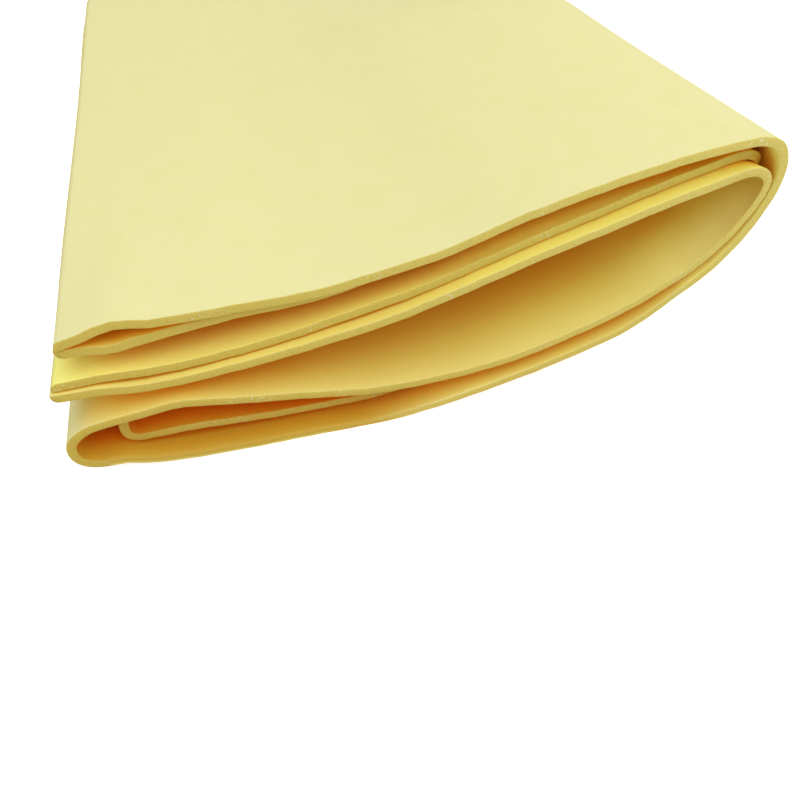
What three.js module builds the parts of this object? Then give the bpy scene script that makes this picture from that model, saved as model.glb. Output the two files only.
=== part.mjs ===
// A PVA chamois towel, folded as it is stored: one soft foam sheet, in millimetres, +Z up.
//
// The sheet is folded once across its width, so that its back half lies under its front half
// and both long edges meet at the front. The doubled sheet is then folded in half and in half
// again along its length. That leaves eight plies. Seen from the front they are numbered from
// the top: plies 1, 4, 5 and 8 are the outer half of the sheet, and plies 2, 3, 6 and 7 are the
// inner half, which lies between them.
import * as THREE from 'three';

// The flat sheet
const sheetLength = 660;
const sheetWidth = 430;
const sheetThickness = 2;

// How the folded pack lies
const plyAir = 0.3;             // least air between two plies
const frontOpening = 43.2;      // how far the front of ply 1 springs up over a closed pack
const frontSlack = 3.64;        // most extra air between the two halves at the front
const ply1BackRise = 22.5;      // how far each outer ply stays up at the back
const ply4BackRise = 19;
const ply5BackRise = 3;
const ply8BackRise = 0;
const beddingDepth = 0.5;       // how deep the foam is pressed flat where it rests
const bundleCloseFrom = 50;     // depth where the lower bundle, plies 5 to 8, starts to close
const bundleClosedBy = 170;     // depth where it has closed
const lidCloseFrom = 95;        // depth where the lid, plies 1 to 4, starts to close
const topEndInset = 4.1;        // left ends of plies 1 and 2
const innerEndInset = 1.2;      // left ends of plies 3 and 4
const leftFoldInset = 6.2;      // where the left fold starts, from the left
const curlInset = 6.4;          // how much further in the inner half turns there, at the front
const upperTurnReach = 0.8;     // how far plies 1 and 4 run past the last station
const innerTurnInset = 4;       // how far short of it ply 5 turns up, at the front
const nestedTurnInset = 3.5;    // the same, further back
const nestedAir = 0.6;          // extra air between the two halves there
const endRecess = 0.6;          // the inner half's edge behind the outer half's: at the ends
const middleRecess = 3;         // more of it between them
const noseRecess = 14;          // more of it at the right folds
const innerNoseMiddle = 5.5;    // the middle of the inner one, in stretches from ply 1's end

// Places across the pack, from its left, and each ply's rise there at the front
const stationShares = [0.03, 0.06, 0.085, 0.11, 0.16, 0.26, 0.36, 0.46, 0.56, 0.68, 0.81, 0.91, 1];
const ply1RiseShares = [0.46, 0.45, 0.51, 0.53, 0.51, 0.52, 0.53, 0.58, 0.65, 0.78, 0.89, 0.96, 1];
const ply4RiseShares = [0.34, 0.34, 0.33, 0.32, 0.32, 0.35, 0.4, 0.46, 0.55, 0.68, 0.81, 0.91, 0.99];
const ply5RiseShares = [0.17, 0.19, 0.2, 0.21, 0.23, 0.18, 0.13, 0.08, 0.08, 0.12, 0.24, 0.38, 0.56];
const ply8RiseShares = [0.08, 0.09, 0.07, 0.05, 0.02, 0.01, 0.01, 0, 0.04, 0.12, 0.24, 0.37, 0.6];

// Extra air under or over each outer ply at the front, as a share of the slack
const ply1SlackShares = [0.07, 0.04, 0.79, 1, 0.46, 0.1, 0.1, 0.09, 0.03, 0, 0, 0, 0];
const ply4SlackShares = [0, 0.05, 0.14, 0.2, 0.14, 0, 0.07, 0.16, 0, 0, 0, 0, 0];
const ply5SlackShares = [0.11, 0.13, 0.08, 0.06, 0.14, 0.11, 0.07, 0, 0, 0, 0, 0, 0];
const ply8SlackShares = [0.14, 0.14, 0.28, 0.51, 0.81, 0.7, 0.54, 0.54, 0.31, 0.14, 0, 0, 0];

// How far a fold's curve keeps its plies' directions, as shares of the fold's height
const noseReachShares = [0.53, 0.53];
const backNoseReachShares = [0.54, 0.62];
const innerNoseReachShares = [0.55, 0.74];
const leftFoldReachShares = [0.79, 0.78];
const backLeftFoldReachShares = [0.67, 0.67];
const curlReachShares = [0.65, 0.41];

// Where the seven stretches of the folded length start and end, as shares of that length
const stretchShares = [0, 0.21, 0.29, 0.48, 0.52, 0.71, 0.79, 1];

// How deep the left fold's own curl and the slack at the front reach, as shares of the depth
const curlDepthShare = 0.8;
const slackDepthShare = 0.6;

// How steeply the recess of the right folds falls off on the way to the first and the last end
const startRecessPower = 4;
const endRecessPower = 60;

// Where the surface is sampled: shares of the straight depth, of the back crease and of a run
const frontRowShares = [0, 0.06];
const bodyRowShares = [0.32, 0.55, 0.79, 1];
const creaseRowShares = [0.5];
const runSampleShares = [0, 0.06, 0.13, 0.24, 0.4, 0.56, 0.72, 0.87, 1];
const noseSamples = 7;
const leftFoldSamples = 5;

// Stretches whose faces are split along the other diagonal, as they lie against the first ones
const backwardStretches = [2, 5, 6];

const lengthPlies = 4;
const leftOf = { 1: topEndInset, 4: innerEndInset, 5: leftFoldInset, 8: leftFoldInset };
const plyPitch = sheetThickness + plyAir;
const creaseRadius = plyPitch / 2;
const creaseLength = Math.PI * creaseRadius;
const straightDepth = sheetWidth / 2 - creaseLength / 2;
const tinyShare = 0.0001;
const tinyStep = tinyShare * sheetThickness;

// The outer half's plies, counted from the ground: place in the pack, shape and closing
const plies = {
  1: { place: 7, rises: ply1RiseShares, backRise: ply1BackRise, slacks: ply1SlackShares, inward: -1 },
  4: { place: 4, rises: ply4RiseShares, backRise: ply4BackRise, slacks: ply4SlackShares, inward: 1 },
  5: { place: 3, rises: ply5RiseShares, backRise: ply5BackRise, slacks: ply5SlackShares, inward: -1 },
  8: { place: 0, rises: ply8RiseShares, backRise: ply8BackRise, slacks: ply8SlackShares, inward: 1 },
};

function smooth(value) {
  const t = Math.min(Math.max(value, 0), 1);
  return t * t * (3 - 2 * t);
}

function mix(a, b, share) {
  return a + (b - a) * share;
}

function mixPoints(a, b, share) {
  return a.map((value, axis) => mix(value, b[axis], share));
}

// A smooth line through values at the stations, straight beyond the last one.
function alongStations(values, share) {
  const last = stationShares.length - 1;
  let k = 0;
  while (k < last - 1 && share > stationShares[k + 1]) k += 1;
  const slopeAt = (i) => {
    const a = Math.max(i - 1, 0);
    const b = Math.min(i + 1, last);
    return (values[b] - values[a]) / (stationShares[b] - stationShares[a]);
  };
  const width = stationShares[k + 1] - stationShares[k];
  const t = Math.min(Math.max((share - stationShares[k]) / width, 0), 1);
  const beyond = share - (stationShares[k] + t * width);
  const leaving = slopeAt(k) * width;
  const arriving = slopeAt(k + 1) * width;
  const rest = 1 - t;
  const value = values[k] * rest * rest * (1 + 2 * t) + leaving * t * rest * rest
    + values[k + 1] * t * t * (3 - 2 * t) - arriving * t * t * rest;
  return value + beyond * slopeAt(t > 0 ? k + 1 : k);
}

// 0 where a ply still has its height at the front, and 1 where it lies as at the back.
function backShare(ply, depth) {
  const lid = ply === 1 || ply === 4;
  const [from, by] = lid ? [lidCloseFrom, straightDepth] : [bundleCloseFrom, bundleClosedBy];
  return smooth((depth - from) / (by - from));
}

// 0 at the front edge and 1 where the inner half lies between the outer plies.
function spreadShare(depth) {
  return smooth(depth / noseRecess);
}

// 1 at the front, where the inner half curls by itself, and 0 where it nests in the outer half.
function curlShare(depth) {
  return 1 - smooth(depth / (curlDepthShare * straightDepth));
}

// One folded shape of a given run length: its plies, its folds and the whole middle surface.
function foldedSheet(runLength) {
  // Where an outer ply's run ends on the right, at a depth.
  function rightOf(ply, depth) {
    if (ply === 8) return runLength;
    if (ply === 5) return runLength - mix(innerTurnInset, nestedTurnInset, spreadShare(depth));
    return runLength + upperTurnReach;
  }

  // Height of an outer ply's middle, x from the left and depth from the front.
  function freeHeight(ply, x, depth) {
    const { place, rises, backRise } = plies[ply];
    const frontRise = alongStations(rises, x / runLength) * frontOpening;
    const rise = mix(frontRise, backRise, backShare(ply, depth));
    return sheetThickness / 2 + place * plyPitch + rise;
  }

  function slopeOf(height, x) {
    return (height(x + tinyStep) - height(x - tinyStep)) / (2 * tinyStep);
  }

  // Ply 5 also lies on the three plies below it, wherever they fill the space under it.
  function plyHeight(ply, x, depth) {
    const height = freeHeight(ply, x, depth);
    if (ply !== 5) return height;
    const slope = slopeOf((at) => freeHeight(8, at, depth), x);
    const stack = (plies[5].place * plyPitch + plyAir) * Math.hypot(1, slope);
    const stacked = freeHeight(8, x, depth) + stack;
    return height + Math.max(stacked - height, 0) * spreadShare(depth);
  }

  function plySlope(ply, x, depth) {
    return slopeOf((at) => plyHeight(ply, at, depth), x);
  }

  // A point of a ply's run, t from its start to its end along the sheet.
  function runPoint(ply, inner, t, depth) {
    const rightward = ply === 1 || ply === 5;
    const atFold = inner && (ply === 5 || ply === 8);
    const left = leftOf[ply] + (atFold ? curlInset * curlShare(depth) : 0);
    const right = rightOf(ply, depth);
    const x = rightward ? mix(left, right, t) : mix(right, left, t);
    const z = plyHeight(ply, x, depth);
    if (!inner) return [x, z];
    const { slacks, inward } = plies[ply];
    const slack = alongStations(slacks, x / runLength) * frontSlack;
    const nearFront = 1 - smooth(depth / (slackDepthShare * straightDepth));
    const offset = plyPitch * inward;
    const slope = plySlope(ply, x, depth);
    const stretch = Math.hypot(1, slope);
    return [x - offset * slope / stretch, z + offset / stretch + slack * nearFront * inward];
  }

  // Control points of the outer half's fold from one ply to the next, on the right or the left.
  function foldControls(from, to, reachShares, depth) {
    const side = from === 8 ? -1 : 1;
    const ends = [from, to].map((ply) => {
      const x = side < 0 ? leftOf[ply] : rightOf(ply, depth);
      return { x, z: plyHeight(ply, x, depth), slope: plySlope(ply, x, depth) };
    });
    const tall = Math.abs(ends[0].z - ends[1].z);
    const handles = ends.map(({ x, z, slope }, k) => {
      const reach = side * reachShares[k] * tall / Math.hypot(1, slope);
      return [x + reach, z + reach * slope];
    });
    return [[ends[0].x, ends[0].z], ...handles, [ends[1].x, ends[1].z]];
  }

  function bezierPoint(controls, t) {
    const rest = 1 - t;
    const weights = [rest ** 3, 3 * rest * rest * t, 3 * rest * t * t, t ** 3];
    return [0, 1].map((axis) => controls.reduce((sum, point, k) => sum + weights[k] * point[axis], 0));
  }

  // The curve that keeps a distance from a Bezier curve, on its right.
  function besidePoint(controls, t, distance) {
    const rest = 1 - t;
    const weights = [rest * rest, 2 * rest * t, t * t];
    const [dx, dz] = [0, 1].map((axis) => weights.reduce(
      (sum, weight, k) => sum + weight * (controls[k + 1][axis] - controls[k][axis]), 0));
    const [x, z] = bezierPoint(controls, t);
    const length = Math.hypot(dx, dz);
    return [x + distance * dz / length, z - distance * dx / length];
  }

  function noseControls(depth) {
    const reachShares = mixPoints(backNoseReachShares, noseReachShares, curlShare(depth));
    return foldControls(1, 8, reachShares, depth);
  }

  // The wide fold on the right, from ply 1 round to ply 8, with ply 2 to ply 7 inside it.
  function nosePoint(inner, t, depth) {
    const controls = noseControls(depth);
    return inner ? besidePoint(controls, t, plyPitch) : bezierPoint(controls, t);
  }

  // The fold inside it, from ply 5 up to ply 4. Behind the front edge the inner half lies
  // between the two folds, and at the edge, where it is drawn back, they close up.
  function innerNosePoint(inner, t, depth) {
    const distance = inner ? 2 * plyPitch : 3 * plyPitch + nestedAir;
    const nested = besidePoint(noseControls(depth), 1 - t, distance);
    const controls = foldControls(5, 4, innerNoseReachShares, depth);
    const free = inner ? besidePoint(controls, t, plyPitch) : bezierPoint(controls, t);
    return mixPoints(free, nested, spreadShare(depth));
  }

  // The fold on the left, from ply 8 up to ply 5. At the front the inner half makes a curl of
  // its own, further in.
  function leftFoldPoint(inner, t, depth) {
    const reachShares = mixPoints(backLeftFoldReachShares, leftFoldReachShares, curlShare(depth));
    const controls = foldControls(8, 5, reachShares, depth);
    if (!inner) return bezierPoint(controls, t);
    const nested = besidePoint(controls, t, plyPitch);
    const [xa, za] = runPoint(8, true, 1, depth);
    const [xb, zb] = runPoint(5, true, 0, depth);
    const [reachA, reachB] = curlReachShares.map((share) => share * Math.abs(zb - za));
    const curl = bezierPoint([[xa, za], [xa - reachA, za], [xb - reachB, zb], [xb, zb]], t);
    return mixPoints(nested, curl, curlShare(depth));
  }

  // A fold's curve, shifted so that it starts and ends on the plies that it joins.
  function joined(curve, from, to) {
    return (inner, t, depth) => {
      const point = curve(inner, t, depth);
      const [startX, startZ] = curve(inner, 0, depth);
      const [endX, endZ] = curve(inner, 1, depth);
      const [fromX, fromZ] = runPoint(from, inner, 1, depth);
      const [toX, toZ] = runPoint(to, inner, 0, depth);
      return [
        point[0] + (1 - t) * (fromX - startX) + t * (toX - endX),
        point[1] + (1 - t) * (fromZ - startZ) + t * (toZ - endZ),
      ];
    };
  }

  const stretches = [
    (inner, t, depth) => runPoint(1, inner, t, depth),
    joined(nosePoint, 1, 8),
    (inner, t, depth) => runPoint(8, inner, t, depth),
    joined(leftFoldPoint, 8, 5),
    (inner, t, depth) => runPoint(5, inner, t, depth),
    joined(innerNosePoint, 5, 4),
    (inner, t, depth) => runPoint(4, inner, t, depth),
  ];

  // The section at a depth: along counts the stretches, from 0 at ply 1's end to 7 at ply 4's.
  function sectionPoint(inner, along, depth) {
    const k = Math.min(Math.max(Math.floor(along), 0), stretches.length - 1);
    return stretches[k](inner, along - k, depth);
  }

  // How far the inner half's edge lies behind the front, at a place along the sheet.
  function recess(along) {
    const k = Math.min(Math.floor(along), stretches.length - 1);
    const share = mix(stretchShares[k], stretchShares[k + 1], along - k);
    const between = 1 - (2 * share - 1) ** 4;
    const power = along > innerNoseMiddle ? endRecessPower : startRecessPower;
    const noses = Math.abs(Math.sin(2 * Math.PI * share)) ** power;
    return endRecess + middleRecess * between + noseRecess * noses;
  }

  // The middle surface. Across runs from the outer half's front edge to the back crease and,
  // half a turn later, forward again to the inner half's edge.
  function surfacePoint(along, across) {
    if (across <= straightDepth) {
      const [x, z] = sectionPoint(false, along, across);
      return new THREE.Vector3(x, across, z);
    }
    if (across >= straightDepth + creaseLength) {
      const depth = 2 * straightDepth + creaseLength - across;
      const [x, z] = sectionPoint(true, along, depth);
      return new THREE.Vector3(x, depth, z);
    }
    const turn = (across - straightDepth) / creaseRadius;
    const outer = sectionPoint(false, along, straightDepth);
    const inner = sectionPoint(true, along, straightDepth);
    const [x, z] = mixPoints(outer, inner, (1 - Math.cos(turn)) / 2);
    return new THREE.Vector3(x, straightDepth + creaseRadius * Math.sin(turn), z);
  }

  function frontEdgeLength(steps) {
    let length = 0;
    let [lastX, lastZ] = sectionPoint(false, 0, 0);
    for (let k = 1; k <= steps; k += 1) {
      const [x, z] = sectionPoint(false, stretches.length * k / steps, 0);
      length += Math.hypot(x - lastX, z - lastZ);
      [lastX, lastZ] = [x, z];
    }
    return length;
  }

  return { surfacePoint, recess, frontEdgeLength };
}

// The run length for which the front edge, followed through every fold, is the sheet's length.
function fittedSheet() {
  const measureSteps = 280;
  const fittingRounds = 6;
  let runLength = sheetLength / lengthPlies;
  for (let round = 0; round < fittingRounds; round += 1) {
    const excess = foldedSheet(runLength).frontEdgeLength(measureSteps) - sheetLength;
    runLength -= excess / lengthPlies;
  }
  return foldedSheet(runLength);
}

// Places along the sheet where its shape is sampled. Plies 1 and 5 run to the right, and plies
// 8 and 4 back to the left, so that all four are sampled at the same places.
function alongSamples() {
  const samples = [];
  const foldSamples = { 1: noseSamples, 3: leftFoldSamples, 5: noseSamples };
  const leftward = runSampleShares.map((share) => 1 - share).reverse();
  for (let stretch = 0; stretch < 2 * lengthPlies - 1; stretch += 1) {
    const count = foldSamples[stretch];
    const shares = stretch % 4 === 0 ? runSampleShares : leftward;
    const places = count ? Array.from({ length: count }, (_, k) => k / count) : shares.slice(0, -1);
    places.forEach((place) => samples.push(stretch + place));
  }
  samples.push(2 * lengthPlies - 1);
  return samples;
}

// Places across the sheet, front edge to crease to the inner half's own edge. Both halves are
// sampled at the same depths.
function acrossSamples(recess) {
  const wholeWidth = 2 * straightDepth + creaseLength;
  const bodyRows = bodyRowShares.map((share) => share * straightDepth);
  return [
    ...frontRowShares.map((share) => share * straightDepth),
    ...bodyRows,
    ...creaseRowShares.map((share) => straightDepth + share * creaseLength),
    ...bodyRows.reverse().map((depth) => wholeWidth - depth),
    wholeWidth - recess,
  ];
}

// The foam round the middle surface: two skins, and the cut edge all round.
function foamGeometry(sheet) {
  const columns = alongSamples();
  const rowCount = acrossSamples(0).length;
  const skins = [[], []];
  columns.forEach((along) => {
    acrossSamples(sheet.recess(along)).forEach((across) => {
      const middle = sheet.surfacePoint(along, across);
      const lengthways = sheet.surfacePoint(along + tinyShare, across)
        .sub(sheet.surfacePoint(along - tinyShare, across));
      const widthways = sheet.surfacePoint(along, across + tinyStep)
        .sub(sheet.surfacePoint(along, across - tinyStep));
      const normal = lengthways.cross(widthways).setLength(sheetThickness / 2);
      skins[0].push(middle.clone().add(normal));
      skins[1].push(middle.clone().sub(normal));
    });
  });

  const positions = skins.flat().flatMap(({ x, y, z }) => [x, y, Math.max(z - beddingDepth, 0)]);
  const skinSize = columns.length * rowCount;
  const index = [];
  // Facing plies are split along the same diagonal, so that they keep their distance.
  const quad = (a, b, c, d, turned = false) => {
    if (turned) index.push(a, b, d, b, c, d);
    else index.push(a, b, c, a, c, d);
  };
  const top = (column, row) => column * rowCount + row;
  const under = (column, row) => skinSize + top(column, row);
  const lastColumn = columns.length - 1;
  const lastRow = rowCount - 1;
  const innerRow = frontRowShares.length + bodyRowShares.length;
  for (let column = 0; column < lastColumn; column += 1) {
    const stretch = Math.floor(columns[column]);
    const next = column + 1;
    for (let row = 0; row < lastRow; row += 1) {
      const turned = backwardStretches.includes(stretch) !== (row >= innerRow);
      const after = row + 1;
      quad(top(column, row), top(next, row), top(next, after), top(column, after), turned);
      quad(under(column, row), under(column, after), under(next, after), under(next, row), turned);
    }
    quad(top(column, 0), under(column, 0), under(next, 0), top(next, 0));
    quad(top(column, lastRow), top(next, lastRow), under(next, lastRow), under(column, lastRow));
  }
  for (let row = 0; row < lastRow; row += 1) {
    const after = row + 1;
    quad(top(0, row), top(0, after), under(0, after), under(0, row));
    quad(top(lastColumn, row), under(lastColumn, row), under(lastColumn, after), top(lastColumn, after));
  }

  const geometry = new THREE.BufferGeometry();
  geometry.setAttribute('position', new THREE.Float32BufferAttribute(positions, 3));
  geometry.setIndex(index);
  geometry.computeBoundingBox();
  const { min, max } = geometry.boundingBox;
  geometry.translate(-(min.x + max.x) / 2, -(min.y + max.y) / 2, 0);
  geometry.computeVertexNormals();
  return geometry;
}

const foam = new THREE.MeshStandardMaterial({ color: 0xe7e2a6, roughness: 0.85, metalness: 0 });
const chamoisSheet = new THREE.Mesh(foamGeometry(fittedSheet()), foam);
chamoisSheet.name = 'chamois_sheet';

const towel = new THREE.Group();
towel.add(chamoisSheet);

export default towel;
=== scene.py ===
# %% [markdown]
# # A folded chamois towel of PVA foam
#
# The towel is one sheet of soft foam, 660 mm long, 430 mm wide and 2 mm thick. It is folded once
# across its width, with the crease at the back, and then twice along its length, which stacks
# eight plies. This lesson builds the folded sheet as one surface worked out with numpy, gives it
# its thickness and its cut edges, makes the foam's material from nodes, and lights it on a white
# table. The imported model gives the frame: where the towel lies and how large it may be.

import bpy
import numpy as np
from mathutils import Matrix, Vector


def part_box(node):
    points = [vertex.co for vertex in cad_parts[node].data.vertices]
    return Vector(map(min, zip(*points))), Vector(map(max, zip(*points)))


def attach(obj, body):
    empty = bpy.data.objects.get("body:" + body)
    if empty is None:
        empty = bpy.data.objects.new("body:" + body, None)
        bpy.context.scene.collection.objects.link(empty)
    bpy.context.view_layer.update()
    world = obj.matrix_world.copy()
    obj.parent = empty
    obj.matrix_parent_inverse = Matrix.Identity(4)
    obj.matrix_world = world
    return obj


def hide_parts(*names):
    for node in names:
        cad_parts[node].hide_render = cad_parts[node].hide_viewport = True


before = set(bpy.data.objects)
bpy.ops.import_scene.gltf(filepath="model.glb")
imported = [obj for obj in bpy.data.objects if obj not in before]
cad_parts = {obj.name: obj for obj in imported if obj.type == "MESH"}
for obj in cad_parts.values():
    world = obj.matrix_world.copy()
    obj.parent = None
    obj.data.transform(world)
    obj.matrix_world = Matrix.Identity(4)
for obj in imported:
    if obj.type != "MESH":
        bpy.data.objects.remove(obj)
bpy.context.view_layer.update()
cad_low, cad_high = (np.array(corner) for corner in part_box("chamois_sheet"))
print("the frame's box, in mm:", (cad_low * 1000).round(1), (cad_high * 1000).round(1))

# %% [markdown]
# ## The sheet and its plies
#
# A folded cloth could be simulated, but its plies would end up wherever the solver leaves them.
# Here the fold is planned, as a tailor plans a pleat: each ply has a height at 13 stations
# across the pack, read where its edge shows at the front. Seen from the front, plies 1, 4, 5 and
# 8, counted from the top, are the outer half of the sheet. Plies 2, 3, 6 and 7 are the inner half,
# which lies between them. All lengths are in metres.

# %% Sizes of the sheet and of the folded pack
SHEET_LENGTH = 0.660
SHEET_WIDTH = 0.430
SHEET_THICKNESS = 0.002
PLY_AIR = 0.0003           # least air between two plies
FRONT_OPENING = 0.0432     # how far the front of ply 1 springs up over a closed pack
FRONT_SLACK = 0.00364      # most extra air between the two halves at the front
BEDDING_DEPTH = 0.0005     # how deep the foam is pressed flat where it rests
BUNDLE_CLOSE_FROM = 0.050  # depth where plies 5 to 8 start to close, and where they have closed
BUNDLE_CLOSED_BY = 0.170
LID_CLOSE_FROM = 0.095     # depth where plies 1 to 4 start to come to their height at the back
TOP_END_INSET = 0.0041     # left ends of plies 1 and 2, and of plies 3 and 4
INNER_END_INSET = 0.0012
END_OFFSETS = {1: 0.00065, 4: -0.00055}  # how far the outer half's ends lie right of the inner's
LEFT_FOLD_INSET = 0.0062   # where the left fold starts
CURL_INSET = 0.0064        # how much further in the inner half turns there, at the front
UPPER_TURN_REACH = 0.0008  # how far plies 1 and 4 run past the last station
INNER_TURN_INSET = 0.0040  # how far short of it ply 5 turns up, at the front and further back
NESTED_TURN_INSET = 0.0035
NESTED_AIR = 0.0006        # extra air between the two halves there
END_RECESS = 0.0006        # the inner half's edge behind the outer half's: at the ends,
MIDDLE_RECESS = 0.0030     # more at the left fold,
NOSE_RECESS = 0.014        # and more at the right folds

LENGTH_PLIES = 4
PLY_PITCH = SHEET_THICKNESS + PLY_AIR
CREASE_RADIUS = PLY_PITCH / 2
CREASE_LENGTH = np.pi * CREASE_RADIUS
STRAIGHT_DEPTH = SHEET_WIDTH / 2 - CREASE_LENGTH / 2
TINY_STEP = SHEET_THICKNESS / 10000
print("the outer half is flat for", round(STRAIGHT_DEPTH * 1000, 1), "mm before the crease")

# %% Heights of the plies at the front, as shares of the front opening
STATION_SHARES = np.array(
    [0.03, 0.06, 0.085, 0.11, 0.16, 0.26, 0.36, 0.46, 0.56, 0.68, 0.81, 0.91, 1])
RISE_SHARES = {
    1: [0.46, 0.48, 0.51, 0.53, 0.51, 0.52, 0.53, 0.58, 0.65, 0.78, 0.89, 0.96, 1],
    4: [0.34, 0.34, 0.33, 0.32, 0.32, 0.35, 0.4, 0.46, 0.55, 0.68, 0.81, 0.91, 0.99],
    5: [0.17, 0.19, 0.2, 0.21, 0.23, 0.18, 0.13, 0.08, 0.08, 0.12, 0.24, 0.38, 0.56],
    8: [0.08, 0.08, 0.06, 0.04, 0.02, 0.01, 0.01, 0, 0.04, 0.12, 0.24, 0.37, 0.6],
}
CALM_TOP_SHARES = [0.47, 0.475, 0.48, 0.49, 0.5, 0.52, 0.53, 0.58, 0.65, 0.78, 0.89, 0.96, 1]
KINK_DEPTH = 0.045         # depth where ply 1 has lost the kink at its front left
BACK_RISES = {1: 0.0225, 4: 0.019, 5: 0.003, 8: 0}
SLACK_SHARES = {
    1: [0, 0.25, 0.79, 1, 0.46, 0.1, 0.1, 0.09, 0.03, 0, 0, 0, 0],
    4: [0, 0.05, 0.14, 0.2, 0.14, 0.05, 0.07, 0.16, 0, 0, 0, 0, 0],
    5: [0.11, 0.13, 0.08, 0.06, 0.14, 0.11, 0.07, 0, 0, 0, 0, 0, 0],
    8: [0.14, 0.14, 0.28, 0.51, 0.81, 0.7, 0.54, 0.54, 0.31, 0.14, 0, 0, 0],
}
PLY_PLACE = {1: 7, 4: 4, 5: 3, 8: 0}
PLY_INWARD = {1: -1, 4: 1, 5: -1, 8: 1}
LEFT_INSET = {1: TOP_END_INSET, 4: INNER_END_INSET, 5: LEFT_FOLD_INSET, 8: LEFT_FOLD_INSET}
LID = (1, 4)
print("each outer ply has a height at", len(STATION_SHARES), "stations")

# %% How far the folds reach out, as shares of their height, at their two ends
NOSE_REACH_SHARES = np.array([0.53, 0.53])
BACK_NOSE_REACH_SHARES = np.array([0.54, 0.62])
INNER_NOSE_REACH_SHARES = np.array([0.55, 0.74])
LEFT_FOLD_REACH_SHARES = np.array([0.79, 0.78])
BACK_LEFT_FOLD_REACH_SHARES = np.array([0.67, 0.67])
CURL_REACH_SHARES = np.array([0.65, 0.41])
CURL_DEPTH_SHARE = 0.8     # shares of the depth where the inner half's curl has nested,
SLACK_DEPTH_SHARE = 0.6    # and where the slack between the two halves has gone


# %% Smooth steps and smooth lines
def smooth(value):
    """The S-shaped step 3 t² - 2 t³, with t held between 0 and 1."""
    t = np.clip(value, 0, 1)
    return t * t * (3 - 2 * t)


def step_over(value, limits):
    """The S-shaped step from 0 at the first limit to 1 at the second."""
    return smooth((value - limits[0]) / (limits[1] - limits[0]))


def mix(a, b, share):
    """a where the share is 0, b where it is 1, and in proportion between."""
    return a + (b - a) * share


def along_stations(values, share):
    """A cubic from station to station that leaves each with the slope of the chord between its
    two neighbours. Past the first and the last station it runs on straight."""
    values = np.asarray(values, dtype=float)
    order = np.arange(len(values))
    before, after = np.maximum(order - 1, 0), np.minimum(order + 1, len(values) - 1)
    slopes = (values[after] - values[before]) / (STATION_SHARES[after] - STATION_SHARES[before])
    k = np.clip(np.searchsorted(STATION_SHARES, share) - 1, 0, len(values) - 2)
    width = STATION_SHARES[k + 1] - STATION_SHARES[k]
    t = np.clip((share - STATION_SHARES[k]) / width, 0, 1)
    rest = 1 - t
    beyond = share - (STATION_SHARES[k] + t * width)
    cubic = (values[k] * rest**2 * (1 + 2 * t) + slopes[k] * width * t * rest**2
             + values[k + 1] * t**2 * (3 - 2 * t) - slopes[k + 1] * width * t**2 * rest)
    return cubic + beyond * slopes[np.where(t > 0, k + 1, k)]


def slope_of(height, x):
    """The slope of a height function, from two points a tiny step either side."""
    return (height(x + TINY_STEP) - height(x - TINY_STEP)) / (2 * TINY_STEP)


# %% [markdown]
# ## Heights at any depth
#
# The stack springs open at the front and is pressed together toward the crease. So each ply keeps
# a share of its front opening that falls with depth, along an S-shaped step. Ply 5 also has to lie
# on the three plies under it, so it is lifted wherever they fill the space.

# %% Heights of the outer plies
run_length = SHEET_LENGTH / LENGTH_PLIES


def back_share(ply, depth):
    """0 in front of where the ply leaves its front height, and 1 where it lies as at the back."""
    closing = (BUNDLE_CLOSE_FROM, BUNDLE_CLOSED_BY)
    if ply in LID:
        closing = (LID_CLOSE_FROM, STRAIGHT_DEPTH)
    return step_over(depth, closing)


def spread_share(depth):
    """0 at the front edge, and 1 where the inner half lies between the outer plies."""
    return smooth(depth / NOSE_RECESS)


def curl_share(depth):
    """1 at the front, where the inner half curls by itself, and 0 where it nests."""
    return 1 - smooth(depth / (CURL_DEPTH_SHARE * STRAIGHT_DEPTH))


def free_height(ply, x, depth):
    """Half a thickness, plus the ply's place in a closed pack, plus its rise, which goes from the
    front's uneven one to the back's level one. The kink of ply 1 fades sooner."""
    share = along_stations(RISE_SHARES[ply], x / run_length)
    if ply == 1:
        calm = along_stations(CALM_TOP_SHARES, x / run_length)
        share = mix(share, calm, smooth(depth / KINK_DEPTH))
    rise = mix(share * FRONT_OPENING, BACK_RISES[ply], back_share(ply, depth))
    return SHEET_THICKNESS / 2 + PLY_PLACE[ply] * PLY_PITCH + rise


def ply_height(ply, x, depth):
    """The ply's own height. Ply 5 is lifted to the top of ply 8 plus three plies, measured square
    to ply 8's slope, wherever that is higher. The corner between the two is rounded off by half of
    d + sqrt(d² + r²), where d is the difference and r a rounding."""
    height = free_height(ply, x, depth)
    if ply != 5:
        return height
    slope = slope_of(lambda at: free_height(8, at, depth), x)
    stack = (PLY_PLACE[5] * PLY_PITCH + PLY_AIR) * np.hypot(1, slope)
    lift = free_height(8, x, depth) + stack - height
    rounding = PLY_AIR
    return height + (lift + np.hypot(lift, rounding)) / 2 * spread_share(depth)


def ply_slope(ply, x, depth):
    """The ply's slope across the pack."""
    return slope_of(lambda at: ply_height(ply, at, depth), x)


front_right_height = float(ply_height(1, run_length, 0.0))
print("ply 1 is", round(front_right_height * 1000, 1), "mm high at the front right")

# %% [markdown]
# ## Runs and folds
#
# Each ply runs between two folds, and each fold is a Bezier curve that leaves and arrives in the
# directions of the plies that it joins. The inner half follows the outer half at a distance, except
# at the front left, where it makes a free curl of its own, as the foam does when nothing pulls it
# tight.

# %% Runs of the plies
def right_of(ply, depth):
    """Where the ply's run ends on the right. Ply 5 turns up short of the others. Here and below,
    0 * depth gives a number the shape of the depths."""
    if ply == 8:
        return run_length + 0 * depth
    if ply == 5:
        return run_length - mix(INNER_TURN_INSET, NESTED_TURN_INSET, spread_share(depth))
    return run_length + UPPER_TURN_REACH + 0 * depth


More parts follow.
